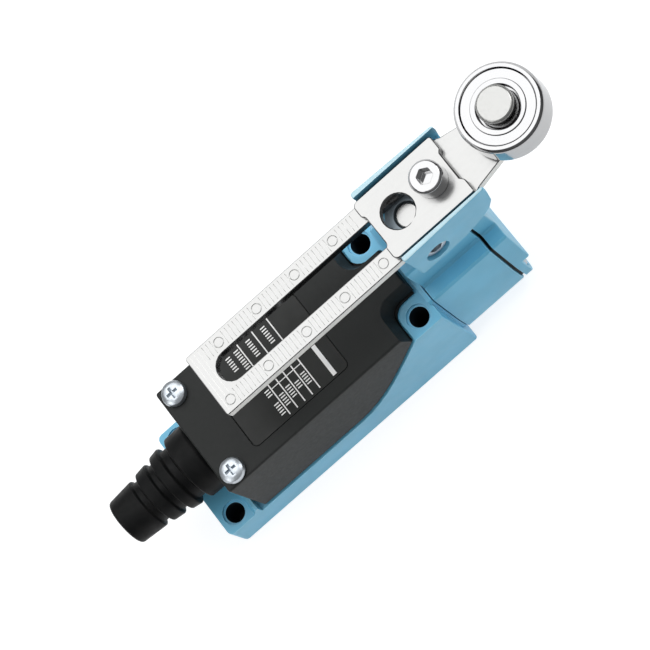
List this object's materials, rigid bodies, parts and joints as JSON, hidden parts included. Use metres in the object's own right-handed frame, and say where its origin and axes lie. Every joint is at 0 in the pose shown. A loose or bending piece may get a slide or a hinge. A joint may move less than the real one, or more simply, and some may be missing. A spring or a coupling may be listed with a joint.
{
  "type": "limit switch",
  "caption": "Small die-cast limit switch with a spring-return shaft, an adjustable slotted roller lever and a rubber cable boot.",
  "frame": {"origin": "middle of the four mounting holes, on the flat mounting face at the back of the housing", "axes": "+Z out of the front along the operating shaft, +Y along the body towards the roller, +X to the right seen from the front"},
  "size_m": [0.027, 0.1241, 0.0563],
  "materials": {
    "blue_paint": "satin light blue paint on die-cast zinc",
    "black_plastic": "fine-grained black moulding",
    "black_rubber": "satin black rubber",
    "plated_steel": "bright nickel-plated steel",
    "chrome": "polished hard chrome",
    "zinc_screw": "blue-white zinc plate",
    "bronze": "sintered bronze",
    "brass": "stamped brass",
    "phenolic": "moulded phenolic",
    "cream_plastic": "matte acetal",
    "label_film": "printed black film",
    "spring_steel": "bright spring wire"
  },
  "bodies": {
    "housing": {"housing": "blue_paint", "front_cover": "black_plastic", "cover_gasket": "black_rubber", "rating_plate": "label_film", "cover_screw_left": "zinc_screw", "cover_screw_right": "zinc_screw", "head_screw_left": "zinc_screw", "head_screw_right": "zinc_screw", "unit_screw_left": "zinc_screw", "unit_screw_right": "zinc_screw", "cable_boot": "black_rubber", "head_block": "blue_paint", "head_cap": "blue_paint", "head_gasket": "black_rubber", "plunger_guide": "bronze", "shaft_bush": "bronze", "shaft_seal": "black_rubber", "switch_base": "phenolic", "closed_terminal_left": "brass", "closed_terminal_right": "brass", "open_terminal_left": "brass", "open_terminal_right": "brass", "closed_terminal_screw_left": "zinc_screw", "closed_terminal_screw_right": "zinc_screw", "open_terminal_screw_left": "zinc_screw", "open_terminal_screw_right": "zinc_screw", "return_spring": "spring_steel"},
    "plunger": {"plunger": "plated_steel", "spring_seat": "zinc_screw", "contact_carrier": "cream_plastic", "moving_contact": "brass", "contact_spring": "spring_steel"},
    "lever": {"operating_shaft": "plated_steel", "shaft_retaining_ring": "spring_steel", "cam": "plated_steel", "lever_holder": "blue_paint", "holder_grip_screw": "plated_steel", "clamp_plate": "plated_steel", "arm_clamp_screw": "plated_steel"},
    "arm": {"lever_arm": "plated_steel", "roller_pin": "plated_steel", "roller_washer": "plated_steel"},
    "roller": {"roller": "chrome", "roller_bush": "chrome"}
  },
  "joints": [
    {"name": "lever_swing", "type": "hinge", "parent": "housing", "child": "lever", "pos_m": [0, 0.0419, 0.0429], "axis": [0, 0, 1], "range_deg": [-50, 50], "stiffness_Nm_per_rad": 0.12},
    {"name": "arm_adjust", "type": "slide", "parent": "lever", "child": "arm", "axis": [0, 1, 0], "range_m": [0, 0.05]},
    {"name": "roller_spin", "type": "hinge", "parent": "arm", "child": "roller", "pos_m": [0, 0.0695, 0.0505], "axis": [0, 0, 1], "continuous": true},
    {"name": "plunger_travel", "type": "slide", "parent": "housing", "child": "plunger", "axis": [0, -1, 0], "range_m": [0, 0.0015], "stiffness_N_per_m": 400}
  ]
}
